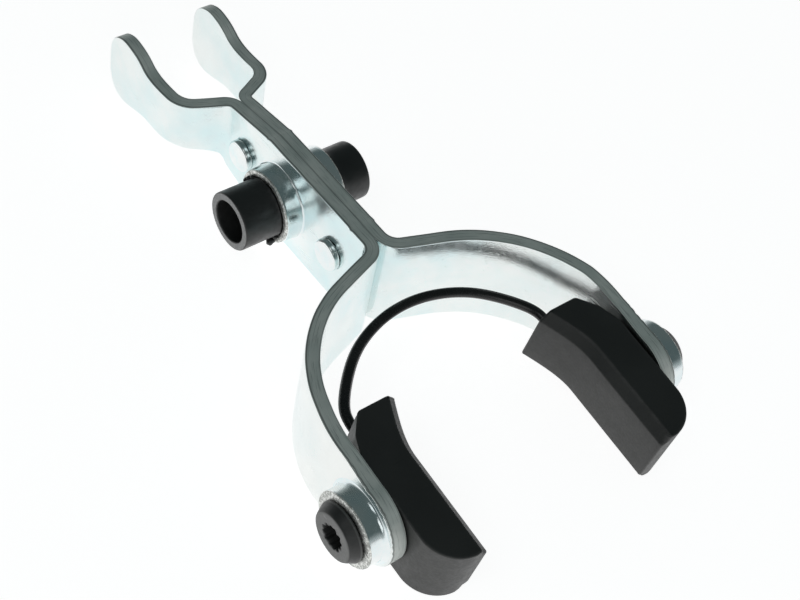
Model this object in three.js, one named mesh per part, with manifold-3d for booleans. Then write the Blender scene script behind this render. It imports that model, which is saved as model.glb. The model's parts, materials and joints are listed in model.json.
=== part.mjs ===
// Drive-lever fork of a starter motor, in millimetres.
// Two pressed steel arms lie back to back through the middle and are riveted together. They part into two
// tines at one end and into a round yoke at the other. A plastic bush runs through drawn collars in the middle,
// and a plastic shoe turns on a pin in a drawn collar at each end of the yoke. A thin rod ties the two shoes.
// +X runs along the pivot, +Y points along the tines, +Z is up. The left and right sides mirror each other,
// but the right arm's pivot collar is drawn out further.
import * as THREE from "three";
import { mergeVertices } from "three/addons/utils/BufferGeometryUtils.js";
import Module from "manifold-3d";

const wasm = await Module();
wasm.setup();

// ---- Driving dimensions ----
const SHEET = 3.1; // thickness of one arm
const ROUND_SIDES = 36; // sides of a turned surface
const BEND_STEP = 0.16; // largest turn between two stations of a bend, radians

// The strip's plan, as the middle of the sheet runs away from the centre plane at x = SHEET / 2.
const TINE_BEND_Y = 21.4;
const TINE_BEND_ANGLE = Math.PI / 3;
const TINE_ROOT_RADIUS = 3.5;
const TINE_SHOULDER_RADIUS = 6.5;
const TINE_SPREAD = 11.5; // x of the sheet's middle along a tine
const TINE_END_Y = 56.6;

const YOKE_BEND_Y = -27.9;
const YOKE_BEND_ANGLE = THREE.MathUtils.degToRad(71);
const YOKE_ROOT_RADIUS = 4.5;
const YOKE_RADIUS = 33.6;
const YOKE_SPREAD = 36.1; // x of the sheet's middle at the shoes
const SHOE_AXIS_Y = -77.4;
const YOKE_END_RADIUS = 9.85;

// Heights of the strip's edges.
const EDGE_TOP = 12.9;
const EDGE_BOTTOM = -11.4;
const YOKE_TAPER = [19, 0]; // where the edges start and stop closing in, measured back from the shoe axis

// Pivot bush and its collars.
const BORE_RADIUS = 5;
const BUSH_RADIUS = 6.9;
const BUSH_HALF_LENGTH = 16.9;
const BUSH_FIT = 0.05;
const BUSH_LIP_FIT = 0.15;
const PIVOT_COLLAR = { radius: 8.7, fillet: 1.8, bore: BUSH_RADIUS + BUSH_FIT, entry: 1.6 };
const PIVOT_REACH = { left: 7.6, right: 8.9 };

// Shoe pins and their collars.
const PIN_RADIUS = 5.5;
const PIN_RUNNING_FIT = 0.1;
const SHOE_COLLAR = { radius: 8.35, reach: 42.1, fillet: 1.2, bore: PIN_RADIUS + PIN_RUNNING_FIT, entry: 1.4 };
const PIN_HEAD_GAP = 0.2;
const PIN_HEAD_RADIUS = 6.6;
const PIN_HEAD_RIM = 0.6;
const PIN_FACE_RADIUS = 5.4;
const PIN_FACE_X = 44.8;
const PIN_SPIGOT_RADIUS = 3.5;
const PIN_SPIGOT_END_X = 27.6;
const PIN_SPIGOT_FIT = 0.05;
const PIN_SOCKET = { teeth: 12, outer: 3, inner: 2.55, depth: 3.2 };

// Shoes, in a frame at the shoe axis: x across, u along, w up.
const SHOE_PITCH = THREE.MathUtils.degToRad(7.5); // near ends raised
const SHOE_HALF_HEIGHT = 8.75;
const SHOE_BACK_X = 34.2;
const SHOE_FACE_X = 23.3;
const SHOE_NEAR_U = 17.1;
const SHOE_TOE_RADIUS = 8.5;
const SHOE_TOE_U = -10.9;
const SHOE_BEVEL = { across: 1.8, down: 2.3 };
const SHOE_CURVE_STEPS = 10;
const SHOE_PLACE = new THREE.Vector3(0, SHOE_AXIS_Y, 0);

// Rod between the shoes: right half of its route, (x, y, z), from the shoe to the middle.
const ROD_RADIUS = 1.15;
const ROD_FIT = 0.15;
const ROD_SIDES = 8;
const ROD_STEPS = 40;
const ROD_SEAT = { x: 26.5, w: -2, depth: 3 };
const ROD_ROUTE = [
  [26, -55.8, 1.1],
  [23, -51.5, 1.9],
  [15.8, -45.3, 3.1],
  [8, -42, 3.8],
  [0, -40.9, 4],
];

// Rivets.
const RIVETS = [
  { name: "rivet_tine_side", y: 15.2, z: 0.8 },
  { name: "rivet_yoke_side", y: -18.8, z: 0.4 },
];
const RIVET_SHANK_RADIUS = 2.5;
const RIVET_HEAD_RADIUS = 3.8;
const RIVET_HEAD_HEIGHT = 1.6;
const RIVET_EDGE = 0.3;
const RIVET_FIT = 0.05;

// ---- Materials ----
const steel = new THREE.MeshStandardMaterial({ color: 0xd5dbda, roughness: 0.32, metalness: 1 });
const plastic = new THREE.MeshStandardMaterial({ color: 0x1c1d1d, roughness: 0.5, metalness: 0 });

// ---- Solids ----
function toSolid(geometry) {
  const bare = geometry.clone();
  bare.deleteAttribute("normal");
  bare.deleteAttribute("uv");
  const merged = mergeVertices(bare, 1e-4);
  return new wasm.Manifold(
    new wasm.Mesh({
      numProp: 3,
      vertProperties: merged.attributes.position.array,
      triVerts: new Uint32Array(merged.index.array),
    }),
  );
}

function toMesh(name, solid, material) {
  const made = solid.getMesh();
  const geometry = new THREE.BufferGeometry();
  geometry.setAttribute("position", new THREE.BufferAttribute(made.vertProperties, 3));
  geometry.setIndex(new THREE.BufferAttribute(made.triVerts, 1));
  geometry.computeVertexNormals();
  const mesh = new THREE.Mesh(geometry, material);
  mesh.name = name;
  return mesh;
}

// A body turned about the X axis through (y, z). The profile's points are (radius, x), with x rising.
function turned(profile, y = 0, z = 0) {
  const points = profile.map(([radius, x]) => new THREE.Vector2(radius, x));
  return new THREE.LatheGeometry(points, ROUND_SIDES).rotateZ(-Math.PI / 2).translate(0, y, z);
}

// Points of a quarter round between two corners, bulging towards the corner that it cuts off or fills.
function quarter(centre, radius, from, to, steps = 3) {
  return Array.from({ length: steps + 1 }, (_, i) => {
    const angle = from + ((to - from) * i) / steps;
    return [centre[0] + radius * Math.cos(angle), centre[1] + radius * Math.sin(angle)];
  });
}

// A closed body from rings of points, one ring per station. cap lists the triangles of its flat ends.
function ringBody(rings, cap) {
  const sides = rings[0].length;
  const triangles = [];
  for (let i = 0; i + 1 < rings.length; i++) {
    for (let k = 0; k < sides; k++) {
      const a = i * sides + k;
      const b = i * sides + ((k + 1) % sides);
      triangles.push(a, b, b + sides, a, b + sides, a + sides);
    }
  }
  const last = (rings.length - 1) * sides;
  for (const [a, b, c] of cap) {
    triangles.push(a, c, b, last + a, last + b, last + c);
  }
  const geometry = new THREE.BufferGeometry();
  geometry.setAttribute("position", new THREE.Float32BufferAttribute(rings.flat(2), 3));
  geometry.setIndex(triangles);
  return geometry;
}

// ---- Strip of the arms ----
// Stations of the right arm's centre line, walked from the middle. Heading 0 runs straight on, and it grows
// outwards.
function walk(startY, direction, legs) {
  const stations = [{ x: SHEET / 2, y: startY, heading: 0, run: Math.abs(startY) }];
  for (const { length, radius, turn } of legs) {
    const from = stations.at(-1);
    const steps = turn ? Math.ceil(Math.abs(turn) / BEND_STEP) : 1;
    const side = Math.sign(turn ?? 0);
    for (let i = 1; i <= steps; i++) {
      const heading = from.heading + ((turn ?? 0) * i) / steps;
      const along = turn
        ? side * radius * (Math.sin(heading) - Math.sin(from.heading))
        : length * Math.cos(heading);
      const out = turn
        ? side * radius * (Math.cos(from.heading) - Math.cos(heading))
        : length * Math.sin(heading);
      const distance = turn ? (radius * Math.abs(turn) * i) / steps : length;
      stations.push({ x: from.x + out, y: from.y + direction * along, heading, run: from.run + distance });
    }
  }
  return stations.map((station) => ({ ...station, direction }));
}

function straightBetween(spread, angle, ...radii) {
  const bends = radii.reduce((sum, radius) => sum + radius, 0) * (1 - Math.cos(angle));
  return (spread - SHEET / 2 - bends) / Math.sin(angle);
}

const tineSlant = straightBetween(TINE_SPREAD, TINE_BEND_ANGLE, TINE_ROOT_RADIUS, TINE_SHOULDER_RADIUS);
const yokeSlant = straightBetween(YOKE_SPREAD, YOKE_BEND_ANGLE, YOKE_ROOT_RADIUS, YOKE_RADIUS);

const tineBend = walk(TINE_BEND_Y, 1, [
  { radius: TINE_ROOT_RADIUS, turn: TINE_BEND_ANGLE },
  { length: tineSlant },
  { radius: TINE_SHOULDER_RADIUS, turn: -TINE_BEND_ANGLE },
]);
const leafStart = tineBend.at(-1);
const LEAF_STATIONS = 18;
const leaf = Array.from({ length: LEAF_STATIONS }, (_, i) => {
  // Stations crowd towards the tip, where the outline turns fastest.
  const share = Math.sin((Math.PI / 2) * ((i + 1) / LEAF_STATIONS));
  const y = leafStart.y + (TINE_END_Y - leafStart.y) * share;
  return { ...leafStart, y, run: leafStart.run + y - leafStart.y };
});

const yokeBend = walk(YOKE_BEND_Y, -1, [
  { radius: YOKE_ROOT_RADIUS, turn: YOKE_BEND_ANGLE },
  { length: yokeSlant },
  { radius: YOKE_RADIUS, turn: -YOKE_BEND_ANGLE },
]);
const yokeArcEnd = yokeBend.at(-1);
const yokeEnd = {
  ...yokeArcEnd,
  y: SHOE_AXIS_Y,
  run: yokeArcEnd.run + yokeArcEnd.y - SHOE_AXIS_Y,
};

// Edge heights of the tine side against y, as smooth curves through a few (y, z) points.
function edgeCurve(points) {
  return new THREE.CatmullRomCurve3(points.map(([y, z]) => new THREE.Vector3(0, y, z)));
}

const tineTop = edgeCurve([
  [6.9, EDGE_TOP], [14, 11.8], [21.5, 10.6], [27.6, 9], [31.4, 8.5], [35.5, 8.1], [39.5, 8.1], [41.9, 8.6],
  [44, 9.7], [46, 10.5], [50.2, 11.1], [52.6, 10.5], [54.7, 9.2], [56.2, 6.5], [TINE_END_Y, 3],
]);
const tineBottom = edgeCurve([
  [3, EDGE_BOTTOM], [10, -10.6], [16, -9.1], [21.5, -7.6], [23.2, -6.3], [25, -4.8], [27, -4.2], [30.5, -4.1],
  [34.2, -5], [38, -5.3], [41.5, -5.3], [44, -5.9], [50.3, -7.4], [53, -7], [55.2, -5.3], [TINE_END_Y, -2],
]);
const CURVE_SAMPLES = 400;

function heightOn(curve, y) {
  const points = curve.getPoints(CURVE_SAMPLES);
  const next = points.findIndex((point) => point.y >= y);
  if (next <= 0) return (next === 0 ? points[0] : points.at(-1)).z;
  const [a, b] = [points[next - 1], points[next]];
  return THREE.MathUtils.mapLinear(y, a.y, b.y, a.z, b.z);
}

// Edge height of the yoke side, which tapers from the middle's edge to the round end.
function yokeEdge(station, middleEdge, endEdge) {
  const left = THREE.MathUtils.clamp(yokeEnd.run - station.run, YOKE_TAPER[1], YOKE_TAPER[0]);
  return THREE.MathUtils.mapLinear(left, ...YOKE_TAPER, middleEdge, endEdge);
}

const middleY = [3, 6.9, 9, 11.5, 14, 16.5, 19];
const stripStations = [
  { ...yokeEnd, top: YOKE_END_RADIUS, bottom: -YOKE_END_RADIUS },
  ...yokeBend.toReversed().map((station) => ({
    ...station,
    top: yokeEdge(station, EDGE_TOP, YOKE_END_RADIUS),
    bottom: yokeEdge(station, EDGE_BOTTOM, -YOKE_END_RADIUS),
  })),
  ...middleY.map((y) => ({ x: SHEET / 2, y, heading: 0, direction: 1 })),
  ...tineBend,
  ...leaf,
].map((station) => ({
  top: heightOn(tineTop, station.y),
  bottom: heightOn(tineBottom, station.y),
  ...station,
}));

// The four corners of the strip at a station: inner bottom, outer bottom, outer top, inner top.
function stripRing({ x, y, heading, direction, top, bottom }) {
  const across = [Math.cos(heading) * (SHEET / 2), -direction * Math.sin(heading) * (SHEET / 2)];
  const inner = [x - across[0], y - across[1]];
  const outer = [x + across[0], y + across[1]];
  return [
    [...inner, bottom],
    [...inner, top],
    [...outer, top],
    [...outer, bottom],
  ];
}

function collarBody({ radius, reach, fillet }, rootX, y) {
  const foot = rootX - SHEET / 2;
  return turned(
    [
      [0, foot],
      [radius + fillet, foot],
      ...quarter([radius + fillet, rootX + fillet], fillet, -Math.PI / 2, -Math.PI),
      [radius, reach],
      [0, reach],
    ],
    y,
  );
}

function collarCut({ reach, bore, entry }, innerX, y) {
  return turned(
    [
      [0, innerX - 1],
      [bore + entry, innerX - 1],
      ...quarter([bore + entry, innerX + entry], entry, -Math.PI / 2, -Math.PI),
      [bore, reach + 1],
      [0, reach + 1],
    ],
    y,
  );
}

function arm(pivotReach) {
  const pivotCollar = { ...PIVOT_COLLAR, reach: pivotReach };
  const yokeInner = YOKE_SPREAD - SHEET / 2;
  const yokeOuter = YOKE_SPREAD + SHEET / 2;
  const endDisc = turned(
    [[0, yokeInner], [YOKE_END_RADIUS, yokeInner], [YOKE_END_RADIUS, yokeOuter], [0, yokeOuter]],
    SHOE_AXIS_Y,
  );
  const square = [[0, 1, 2], [0, 2, 3]];
  let solid = toSolid(ringBody(stripStations.map(stripRing), square))
    .add(toSolid(endDisc))
    .add(toSolid(collarBody(pivotCollar, SHEET, 0)))
    .add(toSolid(collarBody(SHOE_COLLAR, yokeOuter, SHOE_AXIS_Y)))
    .subtract(toSolid(collarCut(pivotCollar, 0, 0)))
    .subtract(toSolid(collarCut(SHOE_COLLAR, yokeInner, SHOE_AXIS_Y)));
  for (const { y, z } of RIVETS) {
    const radius = RIVET_SHANK_RADIUS + RIVET_FIT;
    const hole = turned([[0, -1], [radius, -1], [radius, SHEET + 1], [0, SHEET + 1]], y, z);
    solid = solid.subtract(toSolid(hole));
  }
  return solid;
}

// ---- Bush and rivets ----
// The bush is moulded through the collars, so it fills the rounded groove where their entries meet.
function bush() {
  const { entry, bore } = PIVOT_COLLAR;
  const lipRadius = entry + BUSH_LIP_FIT;
  const lipFrom = -Math.PI / 2 - Math.acos(entry / lipRadius);
  const lipTo = -Math.PI + Math.acos((bore + entry - BUSH_RADIUS) / lipRadius);
  const half = [...quarter([bore + entry, entry], lipRadius, lipFrom, lipTo), [BUSH_RADIUS, BUSH_HALF_LENGTH]];
  const otherHalf = half.slice(1).toReversed().map(([radius, x]) => [radius, -x]);
  const past = BUSH_HALF_LENGTH + 1;
  const body = turned([[0, -BUSH_HALF_LENGTH], ...otherHalf, ...half, [0, BUSH_HALF_LENGTH]]);
  const hole = turned([[0, -past], [BORE_RADIUS, -past], [BORE_RADIUS, past], [0, past]]);
  return toSolid(body).subtract(toSolid(hole));
}

function rivet({ y, z }) {
  const top = SHEET + RIVET_HEAD_HEIGHT;
  const half = [
    [RIVET_SHANK_RADIUS, SHEET + RIVET_FIT],
    [RIVET_HEAD_RADIUS, SHEET + RIVET_FIT],
    [RIVET_HEAD_RADIUS, top - RIVET_EDGE],
    [RIVET_HEAD_RADIUS - RIVET_EDGE, top],
    [0, top],
  ];
  const otherHalf = half.toReversed().map(([radius, x]) => [radius, -x]);
  return toSolid(turned([...otherHalf, ...half], y, z));
}

// ---- Shoes, their pins and the rod ----
// Outline in (x, u) of a right shoe: the toe, the back, the near end and the working face. The face stands
// setBack behind its crown, which is how the bevels along its two long edges are made.
function shoeOutline(setBack) {
  const face = SHOE_FACE_X + setBack;
  const toe = SHOE_BACK_X - SHOE_TOE_RADIUS;
  const outline = new THREE.Shape();
  outline.moveTo(face - 0.3, SHOE_TOE_U - SHOE_TOE_RADIUS + 0.2);
  outline.absarc(toe, SHOE_TOE_U, SHOE_TOE_RADIUS, -Math.PI / 2, 0);
  outline.lineTo(SHOE_BACK_X, 8);
  outline.lineTo(SHOE_BACK_X - 1.8, 12.8);
  outline.lineTo(SHOE_BACK_X - 5.4, SHOE_NEAR_U);
  outline.lineTo(face - 4, SHOE_NEAR_U);
  outline.bezierCurveTo(face - 2.4, 13.2, face, 8.5, face, 4);
  outline.lineTo(face, SHOE_TOE_U);
  return outline.getPoints(SHOE_CURVE_STEPS);
}

function shoe() {
  const { across, down } = SHOE_BEVEL;
  const levels = [
    [across, -SHOE_HALF_HEIGHT],
    [0, down - SHOE_HALF_HEIGHT],
    [0, SHOE_HALF_HEIGHT - down],
    [across, SHOE_HALF_HEIGHT],
  ];
  const rings = levels.map(([setBack, w]) => shoeOutline(setBack).map(({ x, y }) => [x, y, w]));
  const cap = THREE.ShapeUtils.triangulateShape(shoeOutline(0), []);
  const pinHole = PIN_SPIGOT_RADIUS + PIN_SPIGOT_FIT;
  const pinHoleEnd = PIN_SPIGOT_END_X - PIN_SPIGOT_FIT;
  const past = SHOE_BACK_X + 1;
  const pinSeat = turned([[0, pinHoleEnd], [pinHole, pinHoleEnd], [pinHole, past], [0, past]]);
  const rodSeat = new THREE.CylinderGeometry(
    ROD_RADIUS + ROD_FIT,
    ROD_RADIUS + ROD_FIT,
    2 * ROD_SEAT.depth,
    ROD_SIDES,
  ).translate(ROD_SEAT.x, SHOE_NEAR_U, ROD_SEAT.w);
  return toSolid(ringBody(rings, cap)).subtract(toSolid(pinSeat)).subtract(toSolid(rodSeat));
}

// The pin's spigot sits in the shoe, its shank turns in the collar, and its head holds it outside the collar.
function shoePin() {
  const { teeth, outer, inner, depth } = PIN_SOCKET;
  const shoulder = SHOE_BACK_X + PIN_SPIGOT_FIT;
  const under = SHOE_COLLAR.reach + PIN_HEAD_GAP;
  const body = turned([
    [0, PIN_SPIGOT_END_X],
    [PIN_SPIGOT_RADIUS, PIN_SPIGOT_END_X],
    [PIN_SPIGOT_RADIUS, shoulder],
    [PIN_RADIUS, shoulder],
    [PIN_RADIUS, under],
    [PIN_HEAD_RADIUS, under],
    [PIN_HEAD_RADIUS, under + PIN_HEAD_RIM],
    [PIN_FACE_RADIUS, PIN_FACE_X],
    [0, PIN_FACE_X],
  ]);
  const star = new THREE.Shape(
    Array.from({ length: 2 * teeth }, (_, i) => {
      const radius = i % 2 ? inner : outer;
      const angle = (Math.PI * i) / teeth;
      return new THREE.Vector2(radius * Math.cos(angle), radius * Math.sin(angle));
    }),
  );
  const socket = new THREE.ExtrudeGeometry(star, { depth: depth + 1, bevelEnabled: false })
    .rotateY(Math.PI / 2)
    .translate(PIN_FACE_X - depth, 0, 0);
  return toSolid(body).subtract(toSolid(socket));
}

// A point of the shoe's own frame, in the fork's frame.
function fromShoe(x, u, w) {
  return new THREE.Vector3(x, u, w).applyAxisAngle(new THREE.Vector3(1, 0, 0), SHOE_PITCH).add(SHOE_PLACE);
}

function rod() {
  const rightHalf = [
    fromShoe(ROD_SEAT.x, SHOE_NEAR_U - ROD_SEAT.depth + 2 * ROD_FIT, ROD_SEAT.w),
    fromShoe(ROD_SEAT.x, SHOE_NEAR_U, ROD_SEAT.w),
    ...ROD_ROUTE.map((point) => new THREE.Vector3(...point)),
  ];
  const leftHalf = rightHalf.slice(0, -1).toReversed().map(({ x, y, z }) => new THREE.Vector3(-x, y, z));
  const route = new THREE.CatmullRomCurve3([...rightHalf, ...leftHalf], false, "centripetal");
  const section = new THREE.Shape().absarc(0, 0, ROD_RADIUS, 0, 2 * Math.PI);
  return toSolid(
    new THREE.ExtrudeGeometry(section, { extrudePath: route, steps: ROD_STEPS, curveSegments: ROD_SIDES / 2 }),
  );
}

// ---- Assembly ----
function mirrored(mesh, name) {
  const copy = new THREE.Mesh(mesh.geometry, mesh.material);
  copy.name = name;
  copy.scale.x = -1;
  return copy;
}

const fork = new THREE.Group();
const rightArm = toMesh("right_arm", arm(PIVOT_REACH.right), steel);
const leftArm = mirrored(toMesh("left_arm", arm(PIVOT_REACH.left), steel), "left_arm");
fork.add(rightArm, leftArm, toMesh("pivot_bush", bush(), plastic));
for (const place of RIVETS) {
  fork.add(toMesh(place.name, rivet(place), steel));
}

const shoes = new THREE.Group();
shoes.rotation.x = SHOE_PITCH;
shoes.position.copy(SHOE_PLACE);
const rightShoe = toMesh("right_shoe", shoe(), plastic);
const rightPin = toMesh("right_shoe_pin", shoePin(), plastic);
shoes.add(rightShoe, mirrored(rightShoe, "left_shoe"), rightPin, mirrored(rightPin, "left_shoe_pin"));
fork.add(shoes, toMesh("shoe_rod", rod(), plastic));

// The part's origin is the middle of its outline, at the level that it lies on.
const outline = new THREE.Box3().setFromObject(fork, true);
fork.position.set(0, -(outline.min.y + outline.max.y) / 2, -outline.min.z);

export default fork;
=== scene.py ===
import json
import math

import bpy
import numpy as np
from mathutils import Matrix, Vector, noise
from mathutils.geometry import delaunay_2d_cdt, tessellate_polygon


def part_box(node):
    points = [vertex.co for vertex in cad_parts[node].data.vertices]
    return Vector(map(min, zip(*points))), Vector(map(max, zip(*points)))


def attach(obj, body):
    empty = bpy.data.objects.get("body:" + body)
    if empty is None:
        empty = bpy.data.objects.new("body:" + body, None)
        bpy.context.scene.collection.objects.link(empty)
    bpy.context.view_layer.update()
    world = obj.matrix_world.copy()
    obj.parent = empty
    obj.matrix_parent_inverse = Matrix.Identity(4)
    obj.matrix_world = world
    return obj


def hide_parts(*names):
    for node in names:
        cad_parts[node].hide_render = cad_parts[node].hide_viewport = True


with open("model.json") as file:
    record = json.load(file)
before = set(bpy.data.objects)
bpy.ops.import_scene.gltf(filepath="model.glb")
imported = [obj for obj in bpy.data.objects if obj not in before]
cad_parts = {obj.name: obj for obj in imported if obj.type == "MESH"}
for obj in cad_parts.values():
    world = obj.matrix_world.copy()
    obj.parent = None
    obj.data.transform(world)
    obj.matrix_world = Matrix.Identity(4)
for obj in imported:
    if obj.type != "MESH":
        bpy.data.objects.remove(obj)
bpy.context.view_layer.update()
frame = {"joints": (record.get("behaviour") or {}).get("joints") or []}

MM = 0.001
PIVOT = sum(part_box("pivot_bush"), Vector()) / 2
SHOE_AXIS_Y = (frame["joints"][0]["pos_m"][1] - PIVOT.y) / MM

# ---- Sizes ----
SHEET = 3.1
HALF_SHEET = SHEET / 2
TINE_BEND_Y = 21.4
TINE_ANGLE = math.radians(60)
TINE_RADII = (3.5, 6.5)
TINE_SPREAD = 11.5
YOKE_BEND_Y = -27.9
YOKE_ANGLE = math.radians(71)
YOKE_RADII = (4.5, 33.6)
YOKE_SPREAD = 36.1
YOKE_END_RADIUS = 9.85
EDGE_TOP = 12.9
EDGE_BOTTOM = -11.4
YOKE_TAPER = (0, 19)
TINE_TOP = [
    (6.9, 12.9), (14, 11.8), (21.5, 10.6), (27.6, 9), (31.4, 8.5), (35.5, 8.1), (39.5, 8.1), (41.9, 8.6),
    (44, 9.7), (46, 10.5), (50.2, 11.1), (52.6, 10.5), (54.7, 9.2), (56.2, 6.5), (56.6, 3),
]
TINE_BOTTOM = [
    (3, -11.4), (10, -10.6), (16, -9.1), (21.5, -7.6), (23.2, -6.3), (25, -4.8), (27, -4.2), (30.5, -4.1),
    (34.2, -5), (38, -5.3), (41.5, -5.3), (44, -5.9), (50.3, -7.4), (53, -7), (55.2, -5.3), (56.6, -2),
]
EDGE_ROUND = 0.24
SEAM_ROUND = 0.08
TOOL_JOINTS = (7.1, -23.7)
SHOE_JOINT = 9.4
PIVOT_FOOT = {"spread": 0.4, "height": 0.4, "taper": 0.25}
SHOE_FOOT = {"spread": 0.75, "height": 1.2, "taper": 0.0}
STEP_DOWN = 0.13
AT_EDGE = 0.5
SWELL_RISE = 4.4

# How closely the pieces are cut into faces, in millimetres, radians or points.
BEND_STEP = 0.02
COLUMN_TURN = 0.05
COLUMN_WIDE = 2.4
ROW_WIDE = 1.6
GRID_FINE = 0.9
FINE_WITHIN = 15
STRIP_HALF = 13
ARM_COUNT = 620
SHOE_COUNT = 300
ROUND_COUNT = 112
RIVET_COUNT = 72
PIN_COUNT = 144
ROD_COUNT = 20
LUMP_COUNT = 14
WEAR_AND_SHADE_DEPTH = 0.8

BUSH_RADIUS = 6.9
BORE_RADIUS = 5
BUSH_HALF = 16.9
PIVOT_COLLAR = {"radius": 8.7, "bore": 6.95, "entry": 1.6}
PIVOT_REACH = {"left": 7.6, "right": 8.9}
SHOE_COLLAR = {"radius": 8.35, "reach": 42.1, "bore": 5.6, "entry": 1.4}
RIVETS = {"rivet_tine_side": (15.2, 0.8), "rivet_yoke_side": (-18.8, 0.4)}
RIVET_HOLE = 2.55
RIVET_SHANK = 2.45
RIVET_HEAD = {"radius": 3.8, "height": 1.6}

SHOE_PITCH = math.radians(7.5)
SHOE_HALF_HEIGHT = 8.75
SHOE_ROUND = 0.32
SHOE_BACK = 34.2
SHOE_FACE = 23.3
SHOE_NEAR = 17.1
TOE_RADIUS = 8.5
TOE_U = -10.9
BEVEL = {"across": 1.8, "down": 2.3}
PIN = {"radius": 5.5, "head": 6.6, "rim": 0.6, "face": 5.4, "face_x": 44.8, "socket": 2.8, "depth": 3.2}
ROD_RADIUS = 1.15
ROD_SEAT = (26.5, -2)
ROD_ROUTE = [(26, -55.8, 1.1), (23, -51.5, 1.9), (15.8, -45.3, 3.1), (8, -42, 3.8), (0, -40.9, 4)]


# ---- Camera ----
def make_camera():
    """A level look over the left shoe towards the tines, from above, with the fork tilted in the view."""
    azimuth, elevation, roll = math.radians(-47.806), math.radians(48.756), math.radians(13.62)
    back = Vector((
        math.sin(azimuth) * math.cos(elevation),
        -math.cos(azimuth) * math.cos(elevation),
        math.sin(elevation),
    ))
    camera = bpy.data.objects.new("camera", bpy.data.cameras.new("camera"))
    bpy.context.scene.collection.objects.link(camera)
    camera.data.lens = 71.82
    camera.data.sensor_width = 36
    camera.data.clip_start = 0.01
    camera.data.clip_end = 20
    level = (-back).to_track_quat("-Z", "Y").to_matrix()
    turned = level @ Matrix.Rotation(roll, 3, "Z")
    camera.matrix_world = Matrix.Translation((-0.165248, -0.168603, 0.269788)) @ turned.to_4x4()
    bpy.context.scene.camera = camera


make_camera()


# ---- Shaping ----
def smooth_line(points, samples=12):
    """A centripetal curve through points, the same one that the solids use."""
    points = [np.array(p, float) for p in points]
    points = [2 * points[0] - points[1], *points, 2 * points[-1] - points[-2]]
    line = []
    for a, b, c, d in zip(points, points[1:], points[2:], points[3:]):
        t = np.cumsum([0, *(np.linalg.norm(q - p) ** 0.5 for p, q in ((a, b), (b, c), (c, d)))])
        for s in np.linspace(t[1], t[2], samples, endpoint=False):
            ab = a + (b - a) * (s - t[0]) / (t[1] - t[0])
            bc = b + (c - b) * (s - t[1]) / (t[2] - t[1])
            cd = c + (d - c) * (s - t[2]) / (t[3] - t[2])
            abc = ab + (bc - ab) * (s - t[0]) / (t[2] - t[0])
            bcd = bc + (cd - bc) * (s - t[1]) / (t[3] - t[1])
            line.append(abc + (bcd - abc) * (s - t[1]) / (t[2] - t[1]))
    return np.array([*line, points[-2]])


def evenly(loop, count):
    """count points at even distances round a closed loop."""
    closed = np.vstack([loop, loop[:1]])
    run = np.concatenate([[0], np.cumsum(np.linalg.norm(np.diff(closed, axis=0), axis=1))])
    at = np.linspace(0, run[-1], count, endpoint=False)
    return np.stack([np.interp(at, run, closed[:, k]) for k in range(2)], 1)


def inward(loop):
    """Unit normals that point into a loop that runs anticlockwise."""
    along = np.roll(loop, -1, 0) - np.roll(loop, 1, 0)
    along /= np.linalg.norm(along, axis=1)[:, None]
    return np.stack([-along[:, 1], along[:, 0]], 1)


def within(loop, spots):
    """For each spot, whether it lies inside the closed loop."""
    a, b = loop, np.roll(loop, -1, 0)
    s, z = spots[:, 0, None], spots[:, 1, None]
    spans = (a[:, 1] > z) != (b[:, 1] > z)
    rise = np.where(b[:, 1] == a[:, 1], 1, b[:, 1] - a[:, 1])
    crossing = a[:, 0] + (z - a[:, 1]) * (b[:, 0] - a[:, 0]) / rise
    return (spans & (s < crossing)).sum(1) % 2 == 1


def arc(centre, radius, start, end, steps):
    """Points of an arc, its angles in degrees."""
    angles = np.radians(np.linspace(start, end, steps + 1))
    return [(centre[0] + radius * math.cos(a), centre[1] + radius * math.sin(a)) for a in angles]


def ripple(point, size, seed=0.0):
    """Soft noise from -1 to 1, with bumps about size across."""
    return noise.noise(Vector(point) / size + Vector((seed, 1.7 * seed, 0.3 * seed)))


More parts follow.
